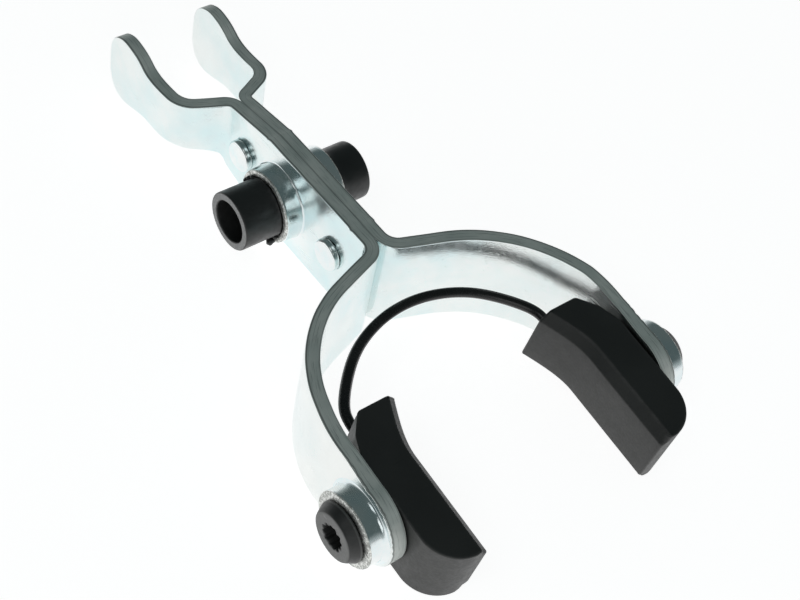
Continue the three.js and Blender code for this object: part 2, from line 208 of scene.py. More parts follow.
class Shell:
    """The points and faces of one piece, with a finish and a lay, in millimetres, for each face."""

    def __init__(self):
        self.points = []
        self.faces = []
        self.finishes = []
        self.lays = []
        self.wear_and_shade = {}

    def ring(self, points, wear=0.0):
        start = len(self.points)
        self.points.extend(Vector(p) for p in points)
        ids = list(range(start, len(self.points)))
        if wear:
            self.wear_and_shade.update((i, wear) for i in ids)
        return ids

    def face(self, ids, finish, lay):
        self.faces.append(list(ids))
        self.finishes.append(finish)
        self.lays.extend(lay)

    def band(self, lower, upper, finish, across):
        """Faces between two closed rings of the same count. across gives the lay's second number on each."""
        length = 0.0
        count = len(lower)
        for i in range(count):
            j = (i + 1) % count
            step = (self.points[lower[j]] - self.points[lower[i]]).length
            near, far = across
            lay = [(length, near), (length + step, near), (length + step, far), (length, far)]
            self.face((lower[i], lower[j], upper[j], upper[i]), finish, lay)
            length += step

    def loft(self, rings, finish):
        """Bands through a row of rings, with one finish or one for each band."""
        across = 0.0
        for k, (a, b) in enumerate(zip(rings, rings[1:])):
            step = (self.points[b[0]] - self.points[a[0]]).length
            self.band(a, b, finish if isinstance(finish, int) else finish[k], (across, across + step))
            across += step

    def make(self, name, body, finishes, replaced, mirror=False, place=None):
        """The finished object, riding on its body in place of the plain solids."""
        place = place or (lambda p: p)
        points = [place(p) for p in self.points]
        if mirror:
            points = [Vector((-p.x, p.y, p.z)) for p in points]
        mesh = bpy.data.meshes.new(name)
        mesh.from_pydata([PIVOT + p * MM for p in points], [], self.faces)
        mesh.polygons.foreach_set("material_index", self.finishes)
        mesh.polygons.foreach_set("use_smooth", [True] * len(self.faces))
        lay = mesh.uv_layers.new(name="lay")
        lay.data.foreach_set("uv", np.array(self.lays, np.float32).ravel())
        # The wear attribute holds edge wear on the bush and shoes, a paler face and head rim on the pins, and
        # painted shade along the arms' cut edges.
        wear = mesh.attributes.new("wear", "FLOAT", "POINT")
        wear.data.foreach_set("value", [self.wear_and_shade.get(i, 0.0) for i in range(len(points))])
        if mirror:
            mesh.flip_normals()
        for finish in finishes:
            mesh.materials.append(finish)
        mesh.update()
        piece = bpy.data.objects.new(name, mesh)
        bpy.context.scene.collection.objects.link(piece)
        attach(piece, body)
        if replaced:
            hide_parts(*replaced)
        return piece


# ---- Materials ----
def node_group(name, inputs, outputs):
    """A shader node group with named sockets. Each input is (name, kind, value)."""
    group = bpy.data.node_groups.new(name, "ShaderNodeTree")
    kinds = {"number": "NodeSocketFloat", "colour": "NodeSocketColor", "vector": "NodeSocketVector"}
    for label, kind, value in inputs:
        socket = group.interface.new_socket(name=label, in_out="INPUT", socket_type=kinds[kind])
        if value is not None:
            socket.default_value = value
    for label, kind in outputs:
        group.interface.new_socket(name=label, in_out="OUTPUT", socket_type=kinds[kind])
    return group, group.nodes.new("NodeGroupInput"), group.nodes.new("NodeGroupOutput")


def feed(tree, socket, value):
    if isinstance(value, bpy.types.NodeSocket):
        tree.links.new(value, socket)
    elif value is not None:
        socket.default_value = value


def math_node(tree, operation, *values):
    node = tree.nodes.new("ShaderNodeMath")
    node.operation = operation
    for socket, value in zip(node.inputs, values):
        feed(tree, socket, value)
    return node.outputs[0]


def times(tree, first, second):
    return math_node(tree, "MULTIPLY", first, second)


def plus(tree, first, second):
    return math_node(tree, "ADD", first, second)


def span(tree, value, low, high, start=0.0, end=1.0):
    """value taken from low..high to start..end, held at both ends."""
    node = tree.nodes.new("ShaderNodeMapRange")
    node.interpolation_type = "SMOOTHSTEP"
    for socket, number in zip(node.inputs, (value, low, high, start, end)):
        feed(tree, socket, number)
    return node.outputs[0]


def blend_colour(tree, share, first, second):
    node = tree.nodes.new("ShaderNodeMix")
    node.data_type = "RGBA"
    feed(tree, node.inputs[0], share)
    feed(tree, node.inputs[6], first)
    feed(tree, node.inputs[7], second)
    return node.outputs[2]


def noise_node(tree, vector, scale, detail=3.0, rough=0.55):
    node = tree.nodes.new("ShaderNodeTexNoise")
    feed(tree, node.inputs["Vector"], vector)
    feed(tree, node.inputs["Scale"], scale)
    node.inputs["Detail"].default_value = detail
    node.inputs["Roughness"].default_value = rough
    return node.outputs["Fac"]


def stretched(tree, vector, stretch):
    """Vector times stretch, number by number."""
    node = tree.nodes.new("ShaderNodeVectorMath")
    node.operation = "MULTIPLY"
    feed(tree, node.inputs[0], vector)
    feed(tree, node.inputs[1], stretch)
    return node.outputs[0]


def make_grain_group():
    """Fine even grain: a height from 0 to 1 and a sparse mask of its high spots."""
    group, given, made = node_group(
        "surface grain",
        [("Position", "vector", None), ("Scale", "number", 2000.0), ("Sparseness", "number", 0.6)],
        [("Height", "number"), ("Specks", "number")],
    )
    fine = noise_node(group, given.outputs["Position"], given.outputs["Scale"], 4.0, 0.6)
    wider = times(group, given.outputs["Scale"], 0.31)
    broad = noise_node(group, given.outputs["Position"], wider, 2.0, 0.5)
    height = plus(group, times(group, fine, 0.65), times(group, broad, 0.35))
    feed(group, made.inputs["Height"], height)
    above = plus(group, given.outputs["Sparseness"], 0.08)
    feed(group, made.inputs["Specks"], span(group, fine, given.outputs["Sparseness"], above))
    return group


def make_mottle_group():
    """Cloudy variation of a plated or moulded surface, at two sizes, from 0 to 1."""
    group, given, made = node_group(
        "cloudy mottle",
        [("Position", "vector", None), ("Scale", "number", 90.0)],
        [("Cloud", "number"), ("Blotch", "number")],
    )
    cloud = noise_node(group, given.outputs["Position"], given.outputs["Scale"], 3.0, 0.5)
    finer = times(group, given.outputs["Scale"], 5.3)
    blotch = noise_node(group, given.outputs["Position"], finer, 4.0, 0.6)
    feed(group, made.inputs["Cloud"], span(group, cloud, 0.3, 0.7))
    feed(group, made.inputs["Blotch"], span(group, blotch, 0.38, 0.66))
    return group


def make_scratch_group():
    """Thin scratches along the second direction of a stretched position, as a mask."""
    group, given, made = node_group(
        "thin scratches",
        [("Position", "vector", None), ("Stretch", "vector", (1.0, 1.0, 1.0)), ("Rarity", "number", 0.72)],
        [("Scratch", "number")],
    )
    drawn = stretched(group, given.outputs["Position"], given.outputs["Stretch"])
    lines = noise_node(group, drawn, 1.0, 2.0, 0.4)
    where = noise_node(group, given.outputs["Position"], 160.0, 2.0, 0.5)
    above = plus(group, given.outputs["Rarity"], 0.05)
    line = span(group, lines, given.outputs["Rarity"], above)
    feed(group, made.inputs["Scratch"], times(group, line, span(group, where, 0.4, 0.62)))
    return group


def make_wear_group():
    """Wear along edges: the shaped edge broken up by noise."""
    group, given, made = node_group(
        "edge wear",
        [("Position", "vector", None), ("Edge", "number", 0.0), ("Scale", "number", 700.0)],
        [("Wear", "number")],
    )
    cloud = noise_node(group, given.outputs["Position"], given.outputs["Scale"])
    broken = span(group, cloud, 0.35, 0.65)
    feed(group, made.inputs["Wear"], times(group, given.outputs["Edge"], broken))
    return group


GRAIN = make_grain_group()
MOTTLE = make_mottle_group()
SCRATCHES = make_scratch_group()
WEAR = make_wear_group()


class Finish:
    """One material: its Principled shader, the position on the piece, and the shared effects placed in it."""

    def __init__(self, name, **uniform):
        self.material = bpy.data.materials.new(name)
        self.material.use_nodes = True
        self.tree = self.material.node_tree
        self.shader = self.tree.nodes["Principled BSDF"]
        for label, value in uniform.items():
            self.shader.inputs[label.replace("_", " ")].default_value = value
        self.position = self.tree.nodes.new("ShaderNodeTexCoord").outputs["Object"]

    def effect(self, group, **values):
        node = self.tree.nodes.new("ShaderNodeGroup")
        node.node_tree = group
        for label, value in {"Position": self.position, **values}.items():
            feed(self.tree, node.inputs[label], value)
        return node.outputs

    def lay(self, stretch):
        """Place along and across the strip, stretched, as a vector."""
        node = self.tree.nodes.new("ShaderNodeUVMap")
        node.uv_map = "lay"
        return stretched(self.tree, node.outputs[0], stretch)

    # Reads the wear attribute: edge wear on the bush and shoes, the pins' paler face and rim, and painted
    # shade along the arms' cut edges.
    def edge(self):
        node = self.tree.nodes.new("ShaderNodeAttribute")
        node.attribute_name = "wear"
        return node.outputs["Fac"]

    def set(self, label, value):
        feed(self.tree, self.shader.inputs[label], value)

    def bump(self, height, distance):
        node = self.tree.nodes.new("ShaderNodeBump")
        node.inputs["Distance"].default_value = distance
        feed(self.tree, node.inputs["Height"], height)
        self.tree.links.new(node.outputs[0], self.shader.inputs["Normal"])


def zinc_plate():
    """Bright zinc on rolled sheet: near white, with painted shade round the pivot as a cooler, slightly
    darker tint, and with specks and fine dents.
    """
    finish = Finish("zinc_plate", Metallic=1.0)
    tree = finish.tree
    mottle = finish.effect(MOTTLE, Scale=70.0)
    grain = finish.effect(GRAIN, Scale=2600.0, Sparseness=0.66)
    scratch = finish.effect(SCRATCHES, Stretch=(900.0, 60.0, 2400.0), Rarity=0.66)["Scratch"]
    # Painted shade: nearer the pivot the plate turns a cooler, slightly darker teal, standing in for the
    # shading round the collar.
    reach = tree.nodes.new("ShaderNodeVectorMath")
    reach.operation = "DISTANCE"
    feed(tree, reach.inputs[0], finish.position)
    reach.inputs[1].default_value = PIVOT
    away = span(tree, reach.outputs["Value"], 0.02, 0.085)
    warm = blend_colour(tree, mottle["Cloud"], (0.80, 0.845, 0.835, 1), (0.87, 0.885, 0.865, 1))
    pivot_shade_tint = blend_colour(tree, mottle["Cloud"], (0.68, 0.83, 0.845, 1), (0.84, 0.89, 0.88, 1))
    plate_with_pivot_shade = blend_colour(tree, away, pivot_shade_tint, warm)
    dulled = blend_colour(tree, times(tree, mottle["Blotch"], 0.2), plate_with_pivot_shade, (0.74, 0.76, 0.745, 1))
    marked = blend_colour(tree, times(tree, grain["Specks"], 0.7), dulled, (0.5, 0.53, 0.53, 1))
    finish.set("Base Color", marked)
    rough = span(tree, mottle["Blotch"], 0, 1, 0.17, 0.2)
    finish.set("Roughness", plus(tree, rough, times(tree, scratch, 0.12)))
    dents = math_node(tree, "SUBTRACT", grain["Height"], times(tree, scratch, 0.3))
    finish.bump(dents, 0.00003)
    return finish.material


def collar_zinc():
    """Drawn zinc, smoother than the sheet, with draw lines round the collar."""
    finish = Finish("collar_zinc", Metallic=1.0)
    tree = finish.tree
    mottle = finish.effect(MOTTLE, Scale=160.0)
    grain = finish.effect(GRAIN, Scale=2200.0, Sparseness=0.64)
    rings = noise_node(tree, finish.lay((0.05, 4.0, 1.0)), 1.0, 3.0)
    tone = blend_colour(tree, mottle["Cloud"], (0.74, 0.83, 0.85, 1), (0.86, 0.885, 0.88, 1))
    marked = blend_colour(tree, times(tree, grain["Specks"], 0.4), tone, (0.5, 0.55, 0.56, 1))
    finish.set("Base Color", marked)
    finish.set("Roughness", span(tree, mottle["Blotch"], 0, 1, 0.13, 0.22))
    height = plus(tree, times(tree, grain["Height"], 0.35), times(tree, rings, 0.65))
    finish.bump(height, 0.00002)
    return finish.material


def sheared_edge():
    """The cut edge of the sheet: grey, with streaks along it, and painted shade as a darker outline along its
    rounded corners.
    """
    finish = Finish("sheared_edge", Metallic=0.2)
    tree = finish.tree
    mottle = finish.effect(MOTTLE, Scale=120.0)
    grain = finish.effect(GRAIN, Scale=2400.0, Sparseness=0.62)
    streaks = noise_node(tree, finish.lay((0.16, 4.2, 1.0)), 1.0, 4.0, 0.6)
    fine = noise_node(tree, finish.lay((0.5, 12.0, 1.0)), 1.0, 3.0, 0.6)
    base = blend_colour(tree, mottle["Cloud"], (0.68, 0.735, 0.7, 1), (0.86, 0.885, 0.845, 1))
    streaked = blend_colour(tree, span(tree, streaks, 0.5, 0.7), base, (0.42, 0.46, 0.44, 1))
    lit = blend_colour(tree, times(tree, grain["Specks"], 0.4), streaked, (0.85, 0.88, 0.85, 1))
    # Painted shade: the wear attribute, high near the rounded corners and along the seam of the two sheets,
    # darkens the cut edge to a near-black outline.
    rim = finish.edge()
    finish.set("Base Color", blend_colour(tree, times(tree, rim, 0.7), lit, (0.07, 0.08, 0.08, 1)))
    finish.set("Roughness", span(tree, fine, 0.3, 0.7, 0.38, 0.52))
    height = plus(tree, times(tree, streaks, 0.5), times(tree, grain["Height"], 0.5))
    finish.bump(height, 0.00006)
    return finish.material


def torn_rim():
    """The torn mouth of a drawn collar: pale, rough and sparkling."""
    finish = Finish("torn_rim", Metallic=0.85)
    tree = finish.tree
    grain = finish.effect(GRAIN, Scale=1500.0, Sparseness=0.56)
    mottle = finish.effect(MOTTLE, Scale=260.0)
    tone = blend_colour(tree, mottle["Blotch"], (0.36, 0.37, 0.35, 1), (0.86, 0.87, 0.84, 1))
    finish.set("Base Color", blend_colour(tree, grain["Specks"], tone, (0.95, 0.95, 0.93, 1)))
    finish.set("Roughness", span(tree, grain["Height"], 0.3, 0.7, 0.3, 0.6))
    finish.bump(grain["Height"], 0.00016)
    return finish.material


def rivet_zinc():
    """Bright zinc on upset rivet heads, smoother on the turned side."""
    finish = Finish("rivet_zinc", Metallic=1.0)
    tree = finish.tree
    mottle = finish.effect(MOTTLE, Scale=220.0)
    grain = finish.effect(GRAIN, Scale=2400.0, Sparseness=0.66)
    base = blend_colour(tree, mottle["Cloud"], (0.78, 0.86, 0.87, 1), (0.87, 0.89, 0.88, 1))
    finish.set("Base Color", base)
    finish.set("Roughness", span(tree, mottle["Blotch"], 0, 1, 0.14, 0.24))
    finish.bump(grain["Height"], 0.000014)
    return finish.material


def moulded_bush():
    """Black satin plastic of the bush, with faint flow clouds and a few pale scuffs."""
    finish = Finish("moulded_bush", Specular_IOR_Level=0.55)
    tree = finish.tree
    mottle = finish.effect(MOTTLE, Scale=120.0)
    grain = finish.effect(GRAIN, Scale=1700.0, Sparseness=0.7)
    scratch = finish.effect(SCRATCHES, Stretch=(220.0, 1600.0, 1600.0), Rarity=0.68)["Scratch"]
    wear = finish.effect(WEAR, Edge=finish.edge())["Wear"]
    base = blend_colour(tree, mottle["Cloud"], (0.015, 0.0155, 0.0155, 1), (0.022, 0.0225, 0.0225, 1))
    scuffed = blend_colour(tree, times(tree, scratch, 0.25), base, (0.05, 0.05, 0.05, 1))
    finish.set("Base Color", blend_colour(tree, times(tree, wear, 0.35), scuffed, (0.09, 0.09, 0.09, 1)))
    finish.set("Roughness", span(tree, mottle["Blotch"], 0, 1, 0.34, 0.46))
    finish.bump(grain["Height"], 0.00003)
    return finish.material


def cut_plastic():
    """The cut end of the bush: greyer and duller than its sides."""
    finish = Finish("cut_plastic")
    tree = finish.tree
    mottle = finish.effect(MOTTLE, Scale=300.0)
    grain = finish.effect(GRAIN, Scale=2200.0, Sparseness=0.62)
    base = blend_colour(tree, mottle["Blotch"], (0.2, 0.2, 0.203, 1), (0.27, 0.27, 0.27, 1))
    speckled = blend_colour(tree, times(tree, grain["Specks"], 0.5), base, (0.34, 0.34, 0.34, 1))
    finish.set("Base Color", speckled)
    finish.set("Roughness", span(tree, grain["Height"], 0.3, 0.7, 0.4, 0.6))
    finish.bump(grain["Height"], 0.00006)
    return finish.material


def grained_shoe():
    """Black moulded shoe: an even fine grain, pale dust in it, and light edges."""
    finish = Finish("grained_shoe")
    tree = finish.tree
    mottle = finish.effect(MOTTLE, Scale=60.0)
    grain = finish.effect(GRAIN, Scale=1500.0, Sparseness=0.6)
    scratch = finish.effect(SCRATCHES, Stretch=(120.0, 1900.0, 300.0), Rarity=0.7)["Scratch"]
    wear = finish.effect(WEAR, Edge=finish.edge(), Scale=420.0)["Wear"]
    base = blend_colour(tree, mottle["Cloud"], (0.027, 0.0274, 0.0266, 1), (0.037, 0.0374, 0.0362, 1))
    dusted = blend_colour(tree, times(tree, grain["Specks"], 0.3), base, (0.042, 0.042, 0.041, 1))
    scuffed = blend_colour(tree, times(tree, scratch, 0.3), dusted, (0.006, 0.006, 0.006, 1))
    finish.set("Base Color", blend_colour(tree, times(tree, wear, 0.3), scuffed, (0.09, 0.09, 0.088, 1)))
    finish.set("Roughness", span(tree, grain["Height"], 0.3, 0.7, 0.4, 0.54))
    finish.bump(grain["Height"], 0.00005)
    return finish.material


def pin_plastic():
    """Moulded pin: black, paler grey on its flat face and round its head rim, that grey varied by scuffs."""
    finish = Finish("pin_plastic")
    tree = finish.tree
    mottle = finish.effect(MOTTLE, Scale=200.0)
    grain = finish.effect(GRAIN, Scale=1900.0, Sparseness=0.64)
    scuffs = finish.effect(SCRATCHES, Stretch=(900.0, 200.0, 1500.0), Rarity=0.62)["Scratch"]
    base = blend_colour(tree, mottle["Cloud"], (0.02, 0.0205, 0.02, 1), (0.03, 0.0305, 0.03, 1))
    dull = blend_colour(tree, scuffs, (0.15, 0.151, 0.148, 1), (0.24, 0.24, 0.235, 1))
    finish.set("Base Color", blend_colour(tree, finish.edge(), base, dull))
    finish.set("Roughness", span(tree, grain["Height"], 0.3, 0.7, 0.36, 0.5))
    finish.bump(grain["Height"], 0.00004)
    return finish.material


def rod_plastic():
    """Smooth moulded rod: black, with a gloss that wanders along it."""
    finish = Finish("rod_plastic")
    tree = finish.tree
    mottle = finish.effect(MOTTLE, Scale=260.0)
    grain = finish.effect(GRAIN, Scale=2400.0, Sparseness=0.66)
    base = blend_colour(tree, mottle["Cloud"], (0.01, 0.0105, 0.0105, 1), (0.018, 0.018, 0.018, 1))
    finish.set("Base Color", base)
    finish.set("Roughness", span(tree, mottle["Blotch"], 0, 1, 0.22, 0.3))
    finish.bump(grain["Height"], 0.000006)
    return finish.material


ZINC = zinc_plate()
COLLAR = collar_zinc()
EDGE = sheared_edge()
RIM = torn_rim()
RIVET = rivet_zinc()
BUSH = moulded_bush()
CUT = cut_plastic()
SHOE = grained_shoe()
PIN_FINISH = pin_plastic()
ROD = rod_plastic()


# ---- Arms ----
def bend_table():
    """Middle of the sheet against its run: x, y and the direction out through its outer face."""
    sides = []
    for direction, start, angle, radii, spread, tail in (
        (-1, YOKE_BEND_Y, YOKE_ANGLE, YOKE_RADII, YOKE_SPREAD, 40),
        (1, TINE_BEND_Y, TINE_ANGLE, TINE_RADII, TINE_SPREAD, 40),
    ):
        slant = (spread - HALF_SHEET - sum(radii) * (1 - math.cos(angle))) / math.sin(angle)
        runs = np.cumsum([0, radii[0] * angle, slant, radii[1] * angle, tail])
        run = np.arange(0, runs[-1], BEND_STEP)
        heading = np.interp(run, runs, [0, angle, angle, 0, 0])
        x = HALF_SHEET + np.cumsum(np.sin(heading)) * BEND_STEP
        y = start + direction * np.cumsum(np.cos(heading)) * BEND_STEP
        side = np.stack([start + direction * run, x, y, np.cos(heading), -direction * np.sin(heading)])
        sides.append(side[:, ::-1] if direction < 0 else side)
    middle = np.arange(YOKE_BEND_Y + 0.5, TINE_BEND_Y - 0.4, 0.5)
    flat = np.stack([middle, middle * 0 + HALF_SHEET, middle, middle * 0 + 1, middle * 0])
    return np.hstack([sides[0], flat, sides[1]])


BENDS = bend_table()
RUN_OF_Y = (BENDS[2], BENDS[0])
SHOE_RUN = float(np.interp(SHOE_AXIS_Y, *RUN_OF_Y))

# Swells of the sheet towards its collars: place along the run, outer radius, inner radius, height.
FLARES = ((0.0, 14.5, 8.7, 0.12), (SHOE_RUN, 13.5, 8.35, 0.5))


def bent(run, z, through):
    """A point of the strip: its run, height and distance out from the middle of the sheet."""
    x, y, out_x, out_y = (np.interp(run, BENDS[0], row) for row in BENDS[1:])
    return Vector((x + through * out_x, y + through * out_y, z))


def arm_outline():
    """The developed outline as (run, z), anticlockwise from the top of the round end."""
    def yoke_edge(run, middle, end):
        return np.interp(run - SHOE_RUN, YOKE_TAPER, (end, middle))

    top = smooth_line(TINE_TOP) - (0, STEP_DOWN)
    bottom = smooth_line(TINE_BOTTOM)
    round_end = arc((SHOE_RUN, 0), YOKE_END_RADIUS, 90, 270, 60)
    under = np.arange(SHOE_RUN + 0.8, 2.6, 0.8)
    over = np.array([*np.arange(7.0, TOOL_JOINTS[1], -0.8), TOOL_JOINTS[1] + 0.08, TOOL_JOINTS[1] - 0.08,
                     *np.arange(TOOL_JOINTS[1] - 0.8, SHOE_RUN, -0.8)])
    outline = [
        *round_end,
        *zip(under, yoke_edge(under, EDGE_BOTTOM, -YOKE_END_RADIUS)),
        *zip(np.interp(bottom[:, 0], *RUN_OF_Y), bottom[:, 1]),
        *zip(np.interp(top[::-1, 0], *RUN_OF_Y), top[::-1, 1]),
        *zip(over, yoke_edge(over, EDGE_TOP, YOKE_END_RADIUS) - STEP_DOWN * (over < TOOL_JOINTS[1])
             + STEP_DOWN * (over < SHOE_RUN + SHOE_JOINT)),
    ]
    return evenly(np.array(outline), ARM_COUNT)


def collar_profile(collar, reach, foot):
    """(radius, distance out from the sheet's middle) from the outer face round the rim and back inside."""
    radius, bore, entry = (collar[k] for k in ("radius", "bore", "entry"))
    spread, height, taper = (foot[k] for k in ("spread", "height", "taper"))
    root = arc((0, 0), 1.0, -90, -180, 10)
    outer = [(radius + taper + spread * (1 + x), HALF_SHEET + height * (1 + y)) for x, y in root]
    low, high = HALF_SHEET + height, reach - 0.35
    wall = [(radius + taper * (1 - t), low + (high - low) * t) for t in np.linspace(0, 1, 9)[1:]]
    rim = [(radius - 0.1, reach - 0.12), (radius - 0.35, reach), (radius - 0.7, reach + 0.02)]
    rim += [(bore + 0.55, reach - 0.02), (bore + 0.25, reach - 0.1), (bore + 0.05, reach - 0.4)]
    inside = [(bore, reach - 1), (bore, 0), (bore, entry - HALF_SHEET)]
    mouth = arc((bore + entry, entry - HALF_SHEET), entry, 180, 270, 6)[1:]
    return outer, wall, rim, inside + mouth


def arm_grid(holes, border):
    """Points inside the strip, close together round the pivot and where it bends."""
    columns = []
    run = float(border[:, 0].min())
    while run < border[:, 0].max():
        columns.append(run)
        here, ahead = (np.array([np.interp(run + d, BENDS[0], row) for row in BENDS[3:]]) for d in (0, 0.5))
        turn = np.linalg.norm(ahead - here) / 0.5
        run += min(GRID_FINE if abs(run) < FINE_WITHIN else COLUMN_WIDE, COLUMN_TURN / max(turn, 1e-6))
    spots = []
    for k, s in enumerate(columns):
        rise = GRID_FINE if abs(s) < FINE_WITHIN else ROW_WIDE
        spots += [(s, z) for z in np.arange(-STRIP_HALF + 0.4 * (k % 2), STRIP_HALF, rise)]
    grid = np.array(spots)
    gap = np.sqrt(((grid[:, None] - border[None]) ** 2).sum(2)).min(1)
    keep = (gap > 0.45) & within(border, grid)
    for (s, z), radius in holes:
        keep &= np.hypot(grid[:, 0] - s, grid[:, 1] - z) > radius + 0.5
    return grid[keep]


def fill_face(shell, rings, flat, holes, through, finish, flip):
    """A face of the sheet between its border ring and its hole rings, with points to bend at."""
    known = [i for ring in rings for i in ring]
    loops = [flat[i] for i in known]
    border = np.array([flat[i] for i in rings[0]])
    edges, start = [], 0
    for ring in rings:
        edges += [(start + k, start + (k + 1) % len(ring)) for k in range(len(ring))]
        start += len(ring)
    grid = arm_grid(holes, border)
    coords = [Vector(p) for p in loops] + [Vector(p) for p in grid]
    made = delaunay_2d_cdt(coords, edges, [], 1, 1e-7, True)
    ids = {}
    for k, origin in enumerate(made[3]):
        if origin and origin[0] < len(known):
            ids[k] = known[origin[0]]
    middles = np.array([sum((made[0][k] for k in triangle), Vector((0, 0))) / 3 for triangle in made[2]])
    hole_of = {i: number for number, ring in enumerate(rings[1:]) for i in ring}
    for triangle, filled in zip(made[2], within(border, middles)):
        around = {hole_of.get(ids.get(k)) for k in triangle}
        if not filled or (len(around) == 1 and None not in around):
            continue
        for k in triangle:
            if k not in ids:
                ids[k] = shell.ring([(made[0][k].x, made[0][k].y, through)])[0]
        corners = triangle[::-1] if flip else triangle
        shell.face([ids[k] for k in corners], finish, [tuple(made[0][k]) for k in corners])


def rounding(radius):
    """(inset, drop) of a rounded corner of the sheet, from its face to its cut edge."""
    return [(x, radius - y) for x, y in arc((radius, 0), radius, 90, 180, 4)]


def chatter(run, z, through, seed):
    """How far a point of the cut edge stands out: nicks at the tool joints, tearing round the shoe end."""
    shift = 0.05 * ripple((run, z, through), 5.0, seed)
    if z > 8 and through > HALF_SHEET - 0.6:
        for joint in TOOL_JOINTS:
            shift += 0.2 * math.exp(-(((run - joint) / 0.4) ** 2))
    torn = min(1.0, max(0.0, (SHOE_RUN + SHOE_JOINT - run) / 3))
    if torn and z > 0 and through > HALF_SHEET - 0.5:
        shift += 0.24 * torn * ripple((run, z, through), 0.7, seed + 3)
    return shift


def build_arm(side, mirror, seed):
    """One pressed arm: faces, cut edges, and a drawn collar at the pivot and at the shoe."""
    shell = Shell()
    outline = arm_outline()
    into = inward(outline)
    flat = {}

    # On the arms the wear values are painted shade. They darken the cut edge into a dark outline near its
    # rounded corners. Between the bends, where the two sheets lie back to back, the second value paints shade
    # along their seam.
    def strip_ring(inset, through, wear=0.0, seam_shade=0.0):
        spots = outline + into * inset
        ring = shell.ring([(s, z, through) for s, z in spots])
        for i, spot in zip(ring, spots):
            flat[i] = tuple(spot)
            shell.wear_and_shade[i] = seam_shade if YOKE_BEND_Y < spot[0] < TINE_BEND_Y else wear
        return ring

    h = HALF_SHEET
    # Each ring: inset, distance through the sheet, painted shade on the cut edge beyond the bends, and
    # painted shade between the bends along the seam of the two sheets.
    inner = [(SEAM_ROUND + 0.3, -h, 0, WEAR_AND_SHADE_DEPTH)]
    inner += [(inset, drop - h, 0, 0.7) for inset, drop in rounding(SEAM_ROUND)]
    inner += [(0, SEAM_ROUND + 0.1 - h, 0.7, 0.25), (0, SEAM_ROUND + 0.3 - h, 0, 0), (0, -0.3, 0, 0)]
    outer = [(EDGE_ROUND + 0.3, h, 0, 0)]
    outer += [(inset, h - drop, drop / EDGE_ROUND, drop / EDGE_ROUND) for inset, drop in rounding(EDGE_ROUND)]
    outer += [(0, h - EDGE_ROUND - 0.12, 0.9, 0.9), (0, h - EDGE_ROUND - 0.34, 0, 0), (0, 0.3, 0, 0)]
    rings = [strip_ring(*ring) for ring in inner + outer[::-1]]
    shell.loft(rings, [0] + [1] * (len(rings) - 5) + [0] * 3)

    outer_rings, inner_rings, outer_holes, inner_holes = [rings[-1]], [rings[0]], [], []
    for collar, reach, foot, run in (
        (PIVOT_COLLAR, PIVOT_REACH[side] - HALF_SHEET, PIVOT_FOOT, 0.0),
        (SHOE_COLLAR, SHOE_COLLAR["reach"] - YOKE_SPREAD, SHOE_FOOT, SHOE_RUN),
    ):
        outer, wall, rim, inside = collar_profile(collar, reach, foot)
        angles = np.linspace(0, 2 * math.pi, ROUND_COUNT, endpoint=False)
        profile = [(outer[0][0] + 0.15, HALF_SHEET), *outer, *wall, *rim, *inside]
        profile.append((inside[-1][0] + 0.4, -HALF_SHEET))
        lofted = []
        torn = range(len(outer) + len(wall), len(outer) + len(wall) + len(rim) + 1)
        for k, (radius, out) in enumerate(profile):
            spots = []
            for a in angles:
                place = (math.cos(a) * 9, math.sin(a) * 9)
                lift = grow = 0.0
                if 0 < k <= len(outer) and foot is PIVOT_FOOT:
                    grow = 0.16 * ripple((*place, 0), 2.5, seed + 7)
                if k in torn:
                    lift = 0.07 * ripple((*place, k), 0.8, seed) - 0.04
                    lift += 0.12 * ripple((*place, 0), 4.0, seed + 5)
                    grow = 0.06 * ripple((*place, k), 0.8, seed + 9)
                spots.append((run + (radius + grow) * math.cos(a), (radius + grow) * math.sin(a), out + lift))
            ring = shell.ring(spots, WEAR_AND_SHADE_DEPTH if k in torn else 0.0)
            for i, spot in zip(ring, spots):
                flat[i] = spot[:2]
            lofted.append(ring)
        bands = len(lofted) - 1
        shell.loft(lofted, [3 if k in torn else 2 for k in range(bands)])
        outer_rings.append(lofted[0])
        inner_rings.append(lofted[-1])
        outer_holes.append(((run, 0.0), profile[0][0]))
        inner_holes.append(((run, 0.0), profile[-1][0]))
    for y, z in RIVETS.values():
        lofted = []
        for out in (HALF_SHEET, -HALF_SHEET):
            spots = [(s, v, out) for s, v in arc((y, z), RIVET_HOLE, 0, 352.5, 47)]
            ring = shell.ring(spots)
            for i, spot in zip(ring, spots):
                flat[i] = spot[:2]
            lofted.append(ring)
        shell.loft(lofted, 0)
        outer_rings.append(lofted[0])
        inner_rings.append(lofted[-1])
        outer_holes.append(((y, z), RIVET_HOLE))
        inner_holes.append(((y, z), RIVET_HOLE))
    fill_face(shell, outer_rings, flat, outer_holes, HALF_SHEET, 0, False)
    fill_face(shell, inner_rings, flat, inner_holes, -HALF_SHEET, 0, True)

    def at_edge(run, z):
        return float(((outline - (run, z)) ** 2).sum(1).min()) < AT_EDGE ** 2

    def press(p):
        """From the flat strip to the bent one, with the small unevenness of a pressing."""
        run, z, through = p
        out = through
        if through > 0:
            for centre, wide, foot, depth in FLARES:
                near = max(0.0, (wide - math.hypot(run - centre, z)) / (wide - foot))
                above = max(0.0, 1 - max(0.0, through - HALF_SHEET) / SWELL_RISE)
                out += depth * min(near, 1.0) ** 2 * above ** 2
        if abs(through) < HALF_SHEET + 0.01 and at_edge(run, z):
            out += chatter(run, z, through, seed)
        elif abs(through) <= HALF_SHEET + 0.01 and (through > 0 or abs(run) > 34):
            out += 0.02 * ripple((run, z, 0), 20.0, seed + math.copysign(4, through))
        return bent(run, z, out)

    finishes = [ZINC, EDGE, COLLAR, RIM]
    shell.make(side + "_arm_pressing", "lever", finishes, [side + "_arm"], mirror, press)


